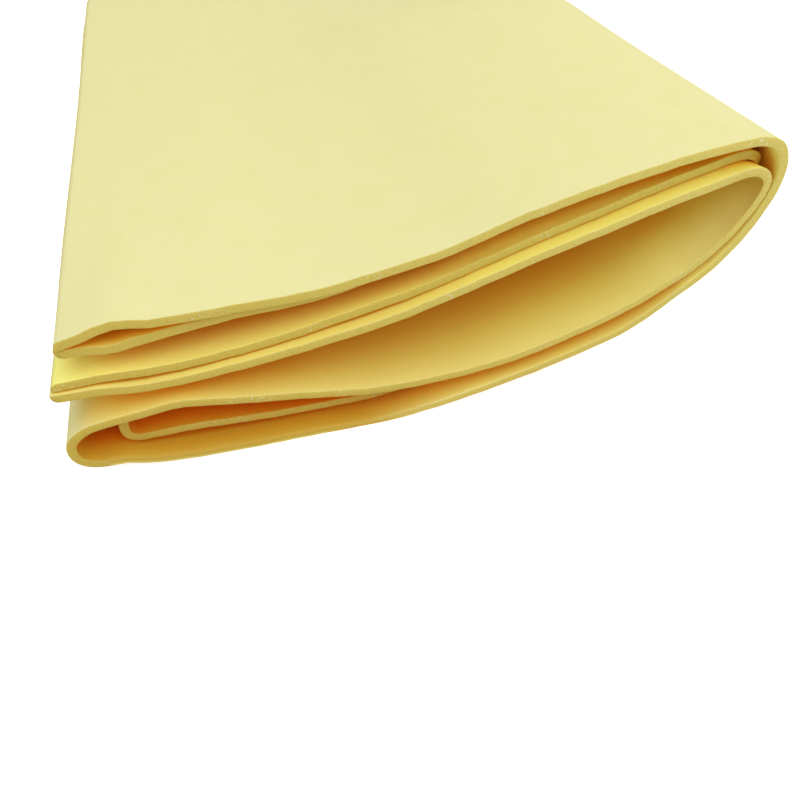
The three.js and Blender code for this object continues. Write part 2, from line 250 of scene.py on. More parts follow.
def run_point(ply, inner, t, depth):
    """A point of a ply's run, t from its start to its end along the sheet. Plies 1 and 5 run to
    the right and plies 8 and 4 to the left. The inner half is moved inward, by one ply's pitch
    square to the ply, and up or down by the slack of the front."""
    curl = CURL_INSET * curl_share(depth) if inner and ply in (5, 8) else 0
    offset_end = 0 if inner else END_OFFSETS.get(ply, 0)
    left, right = LEFT_INSET[ply] + curl + offset_end, right_of(ply, depth)
    x = mix(left, right, t) if ply in (1, 5) else mix(right, left, t)
    z = ply_height(ply, x, depth)
    if not inner:
        return np.stack(np.broadcast_arrays(x, z))
    slack = np.maximum(along_stations(SLACK_SHARES[ply], x / run_length), 0) * FRONT_SLACK
    near_front = 1 - smooth(depth / (SLACK_DEPTH_SHARE * STRAIGHT_DEPTH))
    offset = PLY_PITCH * PLY_INWARD[ply]
    slope = ply_slope(ply, x, depth)
    stretch = np.hypot(1, slope)
    z = z + offset / stretch + slack * near_front * PLY_INWARD[ply]
    return np.stack(np.broadcast_arrays(x - offset * slope / stretch, z))


# %% Curves for the folds
def fold_controls(start, end, reach_shares, depth):
    """The four control points of the outer half's fold. The two middle ones lie on the plies'
    own lines, a share of the fold's height beyond its ends."""
    side = -1 if start == 8 else 1
    ends, slopes = [], []
    for ply in (start, end):
        x = LEFT_INSET[ply] + 0 * depth if side < 0 else right_of(ply, depth)
        ends.append(np.stack([x, ply_height(ply, x, depth)]))
        slopes.append(ply_slope(ply, x, depth))
    tall = np.abs(ends[0][1] - ends[1][1])
    handles = [point + side * share * tall / np.hypot(1, slope) * np.stack([1 + 0 * slope, slope])
               for point, slope, share in zip(ends, slopes, reach_shares)]
    return ends[0], handles[0], handles[1], ends[1]


def bezier(controls, t):
    """The Bezier curve: weights (1 - t)³, 3 t (1 - t)², 3 t² (1 - t) and t³."""
    rest = 1 - t
    weights = (rest**3, 3 * t * rest**2, 3 * t**2 * rest, t**3)
    return sum(weight * point for weight, point in zip(weights, controls))


def beside(controls, t, distance):
    """The curve that keeps a distance from a Bezier curve, on its right: the point, moved along
    the tangent turned by a right angle."""
    rest = 1 - t
    weights = (rest**2, 2 * t * rest, t**2)
    steps = [after - before for before, after in zip(controls, controls[1:])]
    dx, dz = sum(weight * step for weight, step in zip(weights, steps))
    return bezier(controls, t) + distance * np.stack([dz, -dx]) / np.hypot(dx, dz)


# %% The three folds
def nose_controls(depth):
    """The wide fold on the right, from ply 1 round to ply 8, rounder toward the back."""
    shares = [mix(back, front, curl_share(depth))
              for back, front in zip(BACK_NOSE_REACH_SHARES, NOSE_REACH_SHARES)]
    return fold_controls(1, 8, shares, depth)


def nose(inner, t, depth):
    """The wide fold, with the inner half one pitch inside it."""
    controls = nose_controls(depth)
    return beside(controls, t, PLY_PITCH) if inner else bezier(controls, t)


def inner_nose(inner, t, depth):
    """The fold inside it, from ply 5 up to ply 4. Behind the front edge the inner half lies
    between the two folds, and at the edge, where it is drawn back, they close up."""
    distance = 2 * PLY_PITCH if inner else 3 * PLY_PITCH + NESTED_AIR
    nested = beside(nose_controls(depth), 1 - t, distance)
    controls = fold_controls(5, 4, INNER_NOSE_REACH_SHARES, depth)
    free = beside(controls, t, PLY_PITCH) if inner else bezier(controls, t)
    return mix(free, nested, spread_share(depth))


def left_fold(inner, t, depth):
    """The fold on the left, from ply 8 up to ply 5, and inside it the inner half's own curl."""
    shares = [mix(back, front, curl_share(depth))
              for back, front in zip(BACK_LEFT_FOLD_REACH_SHARES, LEFT_FOLD_REACH_SHARES)]
    controls = fold_controls(8, 5, shares, depth)
    if not inner:
        return bezier(controls, t)
    start, end = run_point(8, True, 1 + 0 * depth, depth), run_point(5, True, 0 * depth, depth)
    reaches = CURL_REACH_SHARES[:, None] * np.abs(end[1] - start[1]).reshape(1, -1)
    level = np.stack([np.ones_like(start[0]), np.zeros_like(start[0])])
    handles = [point - reach.reshape(start[0].shape) * level
               for point, reach in zip((start, end), reaches)]
    curl = bezier((start, handles[0], handles[1], end), t)
    return mix(beside(controls, t, PLY_PITCH), curl, curl_share(depth))


# %% All stretches of the sheet, in their order along it
def joined(fold, start, end):
    """A fold, shifted so that it starts and ends on the plies that it joins."""
    def curve(inner, t, depth):
        at_start = run_point(start, inner, 1 + 0 * depth, depth) - fold(inner, 0 * depth, depth)
        at_end = run_point(end, inner, 0 * depth, depth) - fold(inner, 1 + 0 * depth, depth)
        return fold(inner, t, depth) + (1 - t) * at_start + t * at_end
    return curve


def run_of(ply):
    """The run of one ply, as a curve."""
    return lambda inner, t, depth: run_point(ply, inner, t, depth)


STRETCHES = [run_of(1), joined(nose, 1, 8), run_of(8), joined(left_fold, 8, 5), run_of(5),
             joined(inner_nose, 5, 4), run_of(4)]
PLY_1_RUN, NOSE, PLY_8_RUN, LEFT_FOLD, PLY_5_RUN, INNER_NOSE, PLY_4_RUN = range(len(STRETCHES))
print("the sheet runs through", len(STRETCHES), "stretches")

# %% [markdown]
# ## Where the surface is sampled
#
# The grid runs along the sheet through every fold, and across it from one long edge to the crease
# and back. Folds and cut edges get close steps, and flat stretches wide ones. Near a cut edge the
# steps follow the quarter circle that rounds its corner.

# %% Steps along and across the sheet
CORNER_RADIUS = 0.00025      # rounding of the cut edges' corners
SOFT_RADIUS = 0.0009         # and of ply 8's upper one at the front left
END_RADIUS = 0.0017          # rounding of the short ends, on the side away from their neighbour
RUN_STEPS = 44
NOSE_STEPS = 26
LEFT_FOLD_STEPS = 26
BODY_ROWS = 46
CREASE_ROWS = 7
ROW_EVENNESS = 0.35          # 0 packs the rows toward the edge, and 1 spaces them evenly
corner_angles = np.radians([0, 25, 50, 72, 90])
corner_steps = CORNER_RADIUS * (1 - np.cos(corner_angles))
end_angles = np.radians([0, 12, 25, 40, 56, 73, 90])
end_steps = END_RADIUS * (1 - np.cos(end_angles))


def places_of(stretch):
    """Places along one stretch, from 0 to 1, with the rounding's steps at a cut end."""
    fold_steps = {NOSE: NOSE_STEPS, LEFT_FOLD: LEFT_FOLD_STEPS, INNER_NOSE: NOSE_STEPS}
    steps = fold_steps.get(stretch, RUN_STEPS)
    places = np.linspace(0, 1, steps + 1)
    rounding = end_steps / run_length
    if stretch == PLY_1_RUN:
        return np.concatenate([rounding[:-1], mix(rounding[-1], 1, places)])
    if stretch == PLY_4_RUN:
        return np.concatenate([mix(0, 1 - rounding[-1], places), 1 - rounding[-2::-1]])
    return places


def columns_of():
    """The places of every stretch. Two stretches share the place where they meet."""
    return [places_of(k)[0 if k == 0 else 1:] for k in range(len(STRETCHES))]


# Distances from a long edge to the crease, closer near the edge
body = np.linspace(0, 1, BODY_ROWS + 1)[1:]
body = mix(body**2, body, ROW_EVENNESS)
soft_steps = np.array([0.4, 0.65, 1]) * SOFT_RADIUS
edge_rows = np.concatenate([corner_steps, soft_steps, mix(SOFT_RADIUS, STRAIGHT_DEPTH, body)])
crease_angles = np.linspace(0, np.pi, CREASE_ROWS + 2)[1:-1]
print(len(edge_rows), "rows on each half and", CREASE_ROWS, "round the crease")


# %% The inner half's edge, behind the outer half's
SECOND_FOLD_SHARE = 0.747     # where along the sheet the edge starts to come back to the front
RECESS_POWER = 4              # a high power of the sine makes a narrow recess
RETURN_POWER = 300


def recess_of(share):
    """How far the inner half's edge lies behind the front: a little at the ends, more between
    them by 1 - u⁴, where u runs from -1 to 1, and most at the two right folds, by a power of the
    sine of a whole turn, which is largest at 0.25 and 0.75 of the sheet. After the second fold,
    where the edge comes back, the power is higher and starts from its largest value."""
    between = 1 - (2 * share - 1) ** 4
    turn = 2 * np.pi * share
    return_turn = 2 * np.pi * (share + 0.75 - SECOND_FOLD_SHARE)
    noses = np.where(share > SECOND_FOLD_SHARE,
                     np.abs(np.sin(return_turn)) ** RETURN_POWER,
                     np.abs(np.sin(turn)) ** RECESS_POWER)
    return END_RECESS + MIDDLE_RECESS * between + NOSE_RECESS * noses


# %% How far each ply runs, so that the front edge is as long as the sheet
LENGTH_STEPS = 60
LENGTH_TRIES = 6


def front_edge(steps):
    """The outer half's front edge, as x and z along all seven stretches."""
    t = np.linspace(0, 1, steps)
    return np.concatenate([curve(False, t, 0 * t) for curve in STRETCHES], axis=1)


def length_along(points):
    """The running length of a line of points, from 0."""
    return np.concatenate([[0], np.cumsum(np.hypot(*np.diff(points, axis=1)))])


for _ in range(LENGTH_TRIES):
    run_length -= (length_along(front_edge(LENGTH_STEPS))[-1] - SHEET_LENGTH) / LENGTH_PLIES
print("a ply runs", round(run_length * 1000, 2), "mm, and the front edge is",
      round(length_along(front_edge(LENGTH_STEPS))[-1] * 1000, 2), "mm long")


# %% The middle surface
def middle_surface():
    """Points (along, across, xyz) of the sheet's middle. The rows of the outer half lie at their
    depths behind the front. The inner half's rows share out what is left behind its own edge. The
    crease between them is half a turn: the depth follows its sine, and the side its cosine."""
    blocks = []
    t_of_column = columns_of()
    front = [curve(False, t, 0 * t) for curve, t in zip(STRETCHES, t_of_column)]
    along = length_along(np.concatenate(front, axis=1))
    recess = recess_of(along / along[-1])
    first = 0
    for curve, t in zip(STRETCHES, t_of_column):
        t = t[:, None]
        back = STRAIGHT_DEPTH + 0 * t
        outer_depth = np.broadcast_to(edge_rows, (len(t), len(edge_rows)))
        behind = recess[first:first + len(t), None]
        inner_depth = (behind + edge_rows * (1 - behind / STRAIGHT_DEPTH))[:, ::-1]
        turn = (1 - np.cos(crease_angles)) / 2
        crease_depth = np.broadcast_to(
            STRAIGHT_DEPTH + CREASE_RADIUS * np.sin(crease_angles), (len(t), CREASE_ROWS))
        outer, inner = curve(False, t, outer_depth), curve(True, t, inner_depth)
        crease = mix(curve(False, t, back), curve(True, t, back), turn)
        x, z = np.concatenate([outer, crease, inner], axis=2)
        depth = np.concatenate([outer_depth, crease_depth, inner_depth], axis=1)
        blocks.append(np.stack([x, depth, z], axis=-1))
        first += len(t)
    return np.concatenate(blocks), along


middle, along = middle_surface()
row_lengths = np.concatenate([edge_rows, STRAIGHT_DEPTH + CREASE_RADIUS * crease_angles,
                              SHEET_WIDTH - edge_rows[::-1]])
print("the middle surface has", middle.shape[0], "columns and", middle.shape[1], "rows")

# %% [markdown]
# ## Thickness and cut edges
#
# A Solidify modifier would give the sheet its thickness, but its rim has sharp corners. Foam that
# is cut with a blade has a flat face whose corners are a little rounded, so the two skins are moved
# off the middle surface here, by half the thickness, less the drop of a quarter circle near each
# cut edge. A blade never runs quite true, so the edges first get a faint waviness. At the short ends
# the corner that faces the neighbouring ply stays sharp and swells toward it, and the other one is
# well rounded, which is how two ends look when they are pressed together. At the front left the
# upper corner of ply 8 is softer than the rest.

# %% Normals, distances from the cuts, and the waviness
RIPPLE = 0.00013             # how far the cut edges waver, within the next depth
RIPPLE_DEPTH = 0.012
RIPPLE_WAVES = np.array([0.0061, 0.0113, 0.0229])
RIPPLE_PHASES = np.array([0, 1.3, 2.9])


def unit_normals(points):
    """Normals of a grid of points, from its slopes along and across."""
    lengthways = np.gradient(points, along, axis=0)
    widthways = np.gradient(points, row_lengths, axis=1)
    normal = np.cross(lengthways, widthways)
    return normal / np.linalg.norm(normal, axis=-1, keepdims=True)


normals = unit_normals(middle)
from_long_edge = np.minimum(row_lengths, SHEET_WIDTH - row_lengths)[None, :]
from_end = np.minimum(along, along[-1] - along)[:, None]

stretch_of = np.concatenate([np.full(len(t), k) for k, t in enumerate(columns_of())])
outer_half = (row_lengths < SHEET_WIDTH / 2)[None, :]


def is_in(*stretches):
    """True for the columns of some stretches."""
    return np.isin(stretch_of, stretches)[:, None]


waves = np.sin(2 * np.pi * along[:, None] / RIPPLE_WAVES + RIPPLE_PHASES).mean(axis=-1)[:, None]
ripple = RIPPLE * waves * np.where(outer_half, 1, -1)
ripple = ripple * (1 - smooth(from_long_edge / RIPPLE_DEPTH)) * smooth(from_end / RIPPLE_DEPTH)
middle = middle + normals * ripple[..., None]
across_share = middle[..., 0] / run_length
print("the cut edges waver by up to", round(np.abs(ripple).max() * 1000, 2), "mm")

# %% The two skins
TUCKED_RADIUS = CORNER_RADIUS / 3    # rounding of the short ends' corners that face their neighbour
SWELLING = 0.00013                   # how far a ply swells toward its neighbour at the short ends
SWELLING_LENGTH = 0.0023
SOFT_FADES = (0.3, 0.8)              # shares of the run where ply 8's soft corner gets sharper


def corner_drop(distance, radius):
    """How much a rounded corner lies below the flat, at a distance from the edge."""
    inside = radius - np.minimum(distance, radius)
    return radius - np.sqrt(radius**2 - inside**2)


soft_share = (is_in(PLY_8_RUN) & outer_half) * (1 - step_over(across_share, SOFT_FADES))
long_drop = corner_drop(from_long_edge, CORNER_RADIUS)
soft_drop = mix(long_drop, corner_drop(from_long_edge, SOFT_RADIUS), soft_share)
swelling = SWELLING * (1 - smooth(from_end / SWELLING_LENGTH))
outside_drop = np.maximum(long_drop, corner_drop(from_end, END_RADIUS))
inside_drop = np.maximum(soft_drop, corner_drop(from_end, TUCKED_RADIUS)) - swelling
skins = np.stack([middle + normals * (SHEET_THICKNESS / 2 - outside_drop)[..., None],
                  middle - normals * (SHEET_THICKNESS / 2 - inside_drop)[..., None]])
print("two skins of", skins[0, ..., 0].size, "points")


# %% The faces of the skins and of the rims between them
def grid_quads(numbers):
    """Four corners of each cell of a grid of point numbers."""
    return np.stack([numbers[:-1, :-1], numbers[1:, :-1], numbers[1:, 1:], numbers[:-1, 1:]],
                    axis=-1).reshape(-1, 4)


numbers = np.arange(skins[..., 0].size).reshape(skins.shape[:-1])
upper, under = numbers
faces = np.concatenate([
    grid_quads(upper),
    grid_quads(under)[:, ::-1],
    grid_quads(np.stack([under[:, 0], upper[:, 0]], axis=1)),
    grid_quads(np.stack([upper[:, -1], under[:, -1]], axis=1)),
    grid_quads(np.stack([upper[0], under[0]], axis=0)),
    grid_quads(np.stack([under[-1], upper[-1]], axis=0)),
])
print(len(faces), "faces, or", 2 * len(faces), "triangles")

# %% [markdown]
# ## Into the frame
#
# The frame's origin is under the middle of the pack, on the flat that it rests on. So the sheet is
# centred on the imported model's box, lowered by the bedding depth, and what would lie below the
# table is pressed flat.

# %% Place the sheet on the table
points = skins.reshape(-1, 3).copy()
centre = (points.min(axis=0) + points.max(axis=0)) / 2
shift = (cad_low + cad_high) / 2 - centre
shift[2] = -BEDDING_DEPTH
points += shift
points[:, 2] = np.maximum(points[:, 2], 0)
print("the sheet's box, in mm:",
      (points.min(axis=0) * 1000).round(1), (points.max(axis=0) * 1000).round(1))


def make_mesh(name, coordinates, polygons):
    """A smooth-shaded mesh object at the origin, from whole arrays."""
    mesh = bpy.data.meshes.new(name)
    mesh.vertices.add(len(coordinates))
    mesh.vertices.foreach_set("co", coordinates.astype(np.float32).ravel())
    mesh.loops.add(polygons.size)
    mesh.loops.foreach_set("vertex_index", polygons.astype(np.int32).ravel())
    mesh.polygons.add(len(polygons))
    corners = polygons.shape[1]
    mesh.polygons.foreach_set("loop_start", np.arange(0, polygons.size, corners, dtype=np.int32))
    mesh.update(calc_edges=True)
    mesh.validate()
    mesh.polygons.foreach_set("use_smooth", np.ones(len(mesh.polygons), dtype=bool))
    piece = bpy.data.objects.new(name, mesh)
    bpy.context.scene.collection.objects.link(piece)
    return piece


towel = make_mesh("chamois_towel", points, faces)

# %% [markdown]
# ## Marks for the material
#
# The foam's grain has to follow the sheet through its folds, and to run on over the cut edges. So
# each point carries its place in the flat sheet: how far along, how far across, and how high in the
# foam. A UV map holds only two of these numbers, so they go into an attribute. A second attribute
# says where the blade cut the foam. At the right, where plies 3 and 4 lie close together, ply 3's
# upper face looks partly like its cut edge for a few millimetres, so it gets some of that mark too.

# %% The place in the flat sheet
def add_mark(name, kind, values):
    """Numbers for every point of the towel, under a name that the material can read."""
    made = towel.data.attributes.new(name, kind, "POINT")
    member = "vector" if kind == "FLOAT_VECTOR" else "value"
    made.data.foreach_set(member, values.astype(np.float32).ravel())


heights_in_foam = np.stack([SHEET_THICKNESS / 2 - outside_drop, inside_drop - SHEET_THICKNESS / 2])
flat_place = np.empty(skins.shape)
flat_place[..., 0] = along[:, None]
flat_place[..., 1] = row_lengths
flat_place[..., 2] = heights_in_foam
add_mark("flat_place", "FLOAT_VECTOR", flat_place)
print("the flat sheet is", flat_place.max(axis=(0, 1, 2))[:2].round(3), "m")

# %% The cut edges
SOFT_CUT_LOSS = 0.75              # how much less cut ply 8's soft corner looks
PRESSED_FADES = (0.5, 0.65)       # shares of the run where plies 3 and 4 come close together
LIP_DEPTH = 0.003                 # how far back ply 3's upper face looks like its edge
LIP_STRENGTH = 0.6

edge_distance = np.minimum(from_long_edge, from_end)
cut_share = 1 - smooth(np.stack([edge_distance, edge_distance]) / CORNER_RADIUS)
cut_share *= 1 - SOFT_CUT_LOSS * soft_share
pressed = step_over(across_share, PRESSED_FADES)
lip = LIP_STRENGTH * pressed * (1 - smooth(edge_distance / LIP_DEPTH))
cut_share[0] = np.maximum(cut_share[0], lip * (is_in(PLY_4_RUN) & ~outer_half))
add_mark("cut_share", "FLOAT", cut_share)
print("marked", int((cut_share > 0.5).sum()), "points on the cut edges")

# %% [markdown]
# The light that reaches the inside comes in at the front, and some of it through the plies above.
# The lower bundle lies under the whole lid, so its inside gets painted shade, darker and deeper in
# colour. So does the end of the wide pocket, close under ply 4. Ply 3 lies under two plies only,
# and painted light makes it paler, for the light that comes through them. The same goes for the
# wide fold and for the upper side of ply 4. A third mark says where this painted shade and light
# go, for every point: 1 where a face is covered and painted darker, 0 where it is not, and -1 where
# it is painted paler for light through a ply. It fades toward the back, where the crease shows no
# such difference.

# %% Painted shade on covered faces, and painted light on faces that get light through a ply
BUNDLE_FADES = (0.4, 0.65)        # shares of the run where the bundle opens to the light
POCKET_END_FADES = (0.66, 0.86)   # and where the pocket's dark end starts
POCKET_END_HEIGHT = 0.028         # how far it reaches down from the lid
COVERED_DEPTHS = (0.15, 0.19)     # how far back these two reach
LID_GLOW_FADES = (0.8, 1.0)       # shares of the run where the light through the lid gets weaker
LIT_DEPTHS = (0.05, 0.12)         # how far back it reaches
PLY_4_GLOW = 0.4                  # how much of it shows on ply 4

depth = middle[..., 1]
before_crease = 1 - step_over(depth, COVERED_DEPTHS)
in_bundle = is_in(PLY_8_RUN, LEFT_FOLD, PLY_5_RUN)
painted_light_and_shade = np.stack([in_bundle & ~outer_half, in_bundle & np.ones_like(outer_half)])
painted_light_and_shade = painted_light_and_shade * (1 - step_over(across_share, BUNDLE_FADES)) * before_crease

# Painted shade at the pocket's end, close under ply 4
under_lid = ply_height(4, middle[..., 0], depth) - middle[..., 2]
pocket_end = step_over(across_share, POCKET_END_FADES) * (1 - smooth(under_lid / POCKET_END_HEIGHT))
painted_light_and_shade[0] += pocket_end * before_crease * (is_in(PLY_5_RUN, INNER_NOSE) & outer_half)

# Painted light for light that comes through a ply, on ply 3, on ply 4 and in the wide fold
lit = 1 - step_over(depth, LIT_DEPTHS)
lid_glow = 1 - step_over(across_share, LID_GLOW_FADES)
painted_light_and_shade[0] -= lit * lid_glow * (is_in(PLY_4_RUN) & ~outer_half)
painted_light_and_shade[1] -= lit * PLY_4_GLOW * pressed * (is_in(PLY_4_RUN) & outer_half)
painted_light_and_shade -= lit * (is_in(NOSE) & np.stack([~outer_half, outer_half]))
add_mark("painted_light_and_shade", "FLOAT", painted_light_and_shade)
print("marked", int((painted_light_and_shade > 0.5).sum()), "covered points and",
      int((painted_light_and_shade < -0.5).sum()), "lit through a ply")

# %% [markdown]
# ## The foam
#
# PVA foam has no one colour. Light wanders in it, and what comes out on the far side of a ply, or
# after many turns between two walls, is orange, while an open face is a pale, greenish yellow.
# Here that orange is painted shade in the colour: the ambient occlusion node measures how much of
# the open a place sees, and a ramp of colours turns that from orange, deep in a fold, to pale. The
# cut edges show the foam's fine open cells, with patches of small painted glints for wet cells that
# catch the light, and painted shade makes them a little deeper in colour at the left, where the
# plies lie close together, with painted light toward the right.

# %% Helpers for nodes
def put(tree, kind, settings=(), inputs=()):
    """A new node. An input is set to a value, or linked where the value is a socket."""
    made = tree.nodes.new(kind)
    for name, value in dict(settings).items():
        setattr(made, name, value)
    for name, value in dict(inputs).items():
        if isinstance(value, bpy.types.NodeSocket):
            tree.links.new(value, made.inputs[name])
        else:
            made.inputs[name].default_value = value
    return made


def mixed(tree, share, first, second, blend="MIX"):
    """A colour between two, by a share, or the first one multiplied by the second, by a share."""
    settings = {"data_type": "RGBA", "blend_type": blend}
    return put(tree, "ShaderNodeMix", settings, {0: share, 6: first, 7: second}).outputs[2]


def calculated(tree, operation, first, second=0.0):
    """One step of arithmetic on numbers."""
    return put(tree, "ShaderNodeMath", {"operation": operation}, {0: first, 1: second}).outputs[0]


def product(tree, first, second):
    """Two numbers, multiplied."""
    return calculated(tree, "MULTIPLY", first, second)


def ramped(tree, value, low, high):
    """0 below the low value, 1 above the high one, and smooth between them."""
    node = put(tree, "ShaderNodeMapRange", {"interpolation_type": "SMOOTHSTEP"},
               {"Value": value, "From Min": low, "From Max": high})
    return node.outputs["Result"]


def coloured(tree, value, stops):
    """A colour for a number, by stops from low to high."""
    node = put(tree, "ShaderNodeValToRGB", {}, {"Fac": value})
    elements = node.color_ramp.elements
    for position in list(stops)[2:]:
        elements.new(position)
    for element, (position, colour) in zip(elements, stops.items()):
        element.position = position
        element.color = (*colour, 1)
    return node.outputs["Color"]


def noise(tree, place, scale, detail):
    """A soft noise in the sheet's own places. The scale is in repeats per metre."""
    inputs = {"Vector": place, "Scale": scale, "Detail": detail}
    return put(tree, "ShaderNodeTexNoise", {}, inputs).outputs[0]


def mark(tree, name):
    """One of the sheet's marks, as a number."""
    return put(tree, "ShaderNodeAttribute", {"attribute_name": name}).outputs["Fac"]


# %% The foam's colours, with painted shade by how open a place is
# painted shade on the faces: orange deep in a fold, pale where a face sees the open
FACE_COLOURS = {
    0.16: (0.98, 0.43, 0.01),
    0.28: (0.93, 0.80, 0.12),
    0.50: (0.86, 0.77, 0.20),
    0.90: (0.80, 0.76, 0.37),
}
# painted shade on the cut edges, by the same openness
CUT_COLOURS = {
    0.20: (0.72, 0.42, 0.03),
    0.50: (0.70, 0.54, 0.11),
    0.90: (0.72, 0.58, 0.14),
}
# painted shade on covered faces
PAINTED_SHADE_COLOURS = {        # what the colour of a covered face is multiplied by
    0.10: (0.98, 0.62, 0.10),
    0.35: (0.72, 0.50, 0.16),
    0.60: (0.70, 0.50, 0.18),
}
print("an open face is", FACE_COLOURS[0.90], "and a deep fold", FACE_COLOURS[0.16])

# %% The colour of the faces
# painted light on faces that get light through a ply
PAINTED_LIGHT = (1.0, 0.97, 0.24, 1)         # where light comes through a ply,
LIT_STRENGTH = 0.85                        # by this share,
LIT_OPENNESS = (0.05, 0.30)                # but not in the deepest places
CLOUD = (0.78, 0.71, 0.30, 1)              # wide, faint clouds on the open faces
CLOUD_STRENGTH = 0.3
CLOUD_SCALE = 130
CLOUD_RANGE = (0.35, 0.75)                 # noise values where the clouds start and are full
CLOUD_OPENNESS = (0.5, 1.0)


def face_colour(tree, place, seen, covered):
    """By how open a place is, as painted shade, yellower with painted light where light comes through
    a ply, and a little mottled.
    """
    colour = coloured(tree, seen, FACE_COLOURS)
    lit = product(tree, ramped(tree, covered, 0.0, -1.0), ramped(tree, seen, *LIT_OPENNESS))
    colour = mixed(tree, product(tree, lit, LIT_STRENGTH), colour, PAINTED_LIGHT)
    clouds = ramped(tree, noise(tree, place, CLOUD_SCALE, 4), *CLOUD_RANGE)
    mottle = product(tree, clouds, ramped(tree, seen, *CLOUD_OPENNESS))
    return mixed(tree, product(tree, mottle, CLOUD_STRENGTH), colour, CLOUD)


# %% The colour of the cut edges
PORE = (0.50, 0.36, 0.05, 1)               # the open cells, a little darker
PORE_STRENGTH = 0.2
PORE_RANGE = (0.45, 0.8)                   # of the distance from a cell's middle
# a painted highlight: the glints of wet cells
PAINTED_GLINT = (0.85, 0.83, 0.62, 1)              # wet cells that catch the light, in patches
PAINTED_GLINT_STRENGTH = 0.6
WET_SCALE = 1300
WET_RANGE = (0.55, 0.72)
PATCH_SCALE = 60
PATCH_RANGE = (0.54, 0.66)
# painted shade at the left and painted light at the right: the front faces get more light toward the
# right
EDGE_SHADE_AT_LEFT = (0.88, 0.84, 0.66, 1)       # the edges' tint where the plies lie close
EDGE_LIGHT_AT_RIGHT = (1.0, 1.03, 1.06, 1)       # and where they stand open to the light
EDGE_SHADING_X = (-0.09, 0.07)                # from the one to the other, in the frame's X


def edge_colour(tree, place, seen, cells):
    """By how open a place is, as painted shade, with darker cells, painted glints in wet patches, and
    painted shade that deepens from right to left.
    """
    colour = coloured(tree, seen, CUT_COLOURS)
    pores = ramped(tree, cells, *PORE_RANGE)
    colour = mixed(tree, product(tree, pores, PORE_STRENGTH), colour, PORE)
    # painted glints, in patches
    wet = ramped(tree, noise(tree, place, WET_SCALE, 1), *WET_RANGE)
    patches = ramped(tree, noise(tree, place, PATCH_SCALE, 1), *PATCH_RANGE)
    glints = product(tree, wet, patches)
    colour = mixed(tree, product(tree, glints, PAINTED_GLINT_STRENGTH), colour, PAINTED_GLINT)
    # painted shade to painted light across the frame's X, multiplied into the edges' colour
    in_frame = put(tree, "ShaderNodeTexCoord").outputs["Object"]
    across = put(tree, "ShaderNodeSeparateXYZ", {}, {0: in_frame}).outputs["X"]
    edge_shading = mixed(tree, ramped(tree, across, *EDGE_SHADING_X), EDGE_SHADE_AT_LEFT, EDGE_LIGHT_AT_RIGHT)
    return mixed(tree, 1.0, colour, edge_shading, "MULTIPLY")


# %% The foam's material
OPENNESS_REACH = 0.06                      # how far the ambient occlusion looks for other plies
OPENNESS_SAMPLES = 12
CELL_SCALE = 2200
GRAIN_SCALE = 2600
FACE_CELLS = 0.15                          # how much of the cells' relief shows on the faces
RELIEF = 0.0001                            # the bumps' height
CUT_IN_SHADE = (1.3, 0.0)                  # the cut edges take little of the covered faces' darkness


def foam_material():
    """PVA foam: matte, with painted shade that is orange inside its folds, and fine open cells where
    it is cut.
    """
    material = bpy.data.materials.new("pva_foam")
    material.use_nodes = True
    tree = material.node_tree
    place = put(tree, "ShaderNodeAttribute", {"attribute_name": "flat_place"}).outputs["Vector"]
    cut, covered = mark(tree, "cut_share"), mark(tree, "painted_light_and_shade")
    cells = put(tree, "ShaderNodeTexVoronoi", {},
                {"Vector": place, "Scale": CELL_SCALE}).outputs["Distance"]
    # the ambient occlusion sets the painted shade in the base colour
    seen = put(tree, "ShaderNodeAmbientOcclusion", {"samples": OPENNESS_SAMPLES},
               {"Distance": OPENNESS_REACH}).outputs["AO"]
    face = face_colour(tree, place, seen, covered)
    edge = edge_colour(tree, place, seen, cells)
    # Painted shade: covered faces get darker and deeper in colour, and the cut edges take little of it
    shaded = product(tree, calculated(tree, "MAXIMUM", covered, 0.0), ramped(tree, cut, *CUT_IN_SHADE))
    shade = coloured(tree, seen, PAINTED_SHADE_COLOURS)
    colour = mixed(tree, shaded, mixed(tree, cut, face, edge), shade, "MULTIPLY")
    shader = tree.nodes["Principled BSDF"]
    tree.links.new(colour, shader.inputs["Base Color"])
    shader.inputs["Roughness"].default_value = 0.85
    shader.inputs["Specular IOR Level"].default_value = 0.25
    rough = product(tree, cells, calculated(tree, "ADD", cut, FACE_CELLS))
    height = calculated(tree, "SUBTRACT", noise(tree, place, GRAIN_SCALE, 3), rough)
    bump = put(tree, "ShaderNodeBump", {}, {"Height": height, "Strength": 0.5, "Distance": RELIEF})
    tree.links.new(bump.outputs["Normal"], shader.inputs["Normal"])
    print("the foam's material has", len(tree.nodes), "nodes")
    return material


towel.data.materials.append(foam_material())
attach(towel, "root")
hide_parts("chamois_sheet")

# %% [markdown]
# ## The table
#
# The towel lies on a plain white table, with nothing behind it. Where the camera sees the table,
# it also glows a little, so that it clips to white, while the towel's shadow still shows where it
# is deepest.

# %% The white table
TABLE_HALF = 3.0
TABLE_COLOUR = (0.8, 0.8, 0.8, 1)
TABLE_GLOW = 0.75


def seen_directly(tree):
    """1 for what the camera sees, also in a mirror or through glass, and 0 for other rays."""
    path = put(tree, "ShaderNodeLightPath").outputs
    mirrored = calculated(tree, "MAXIMUM", path["Is Camera Ray"], path["Is Glossy Ray"])
    return calculated(tree, "MAXIMUM", mirrored, path["Is Transmission Ray"])


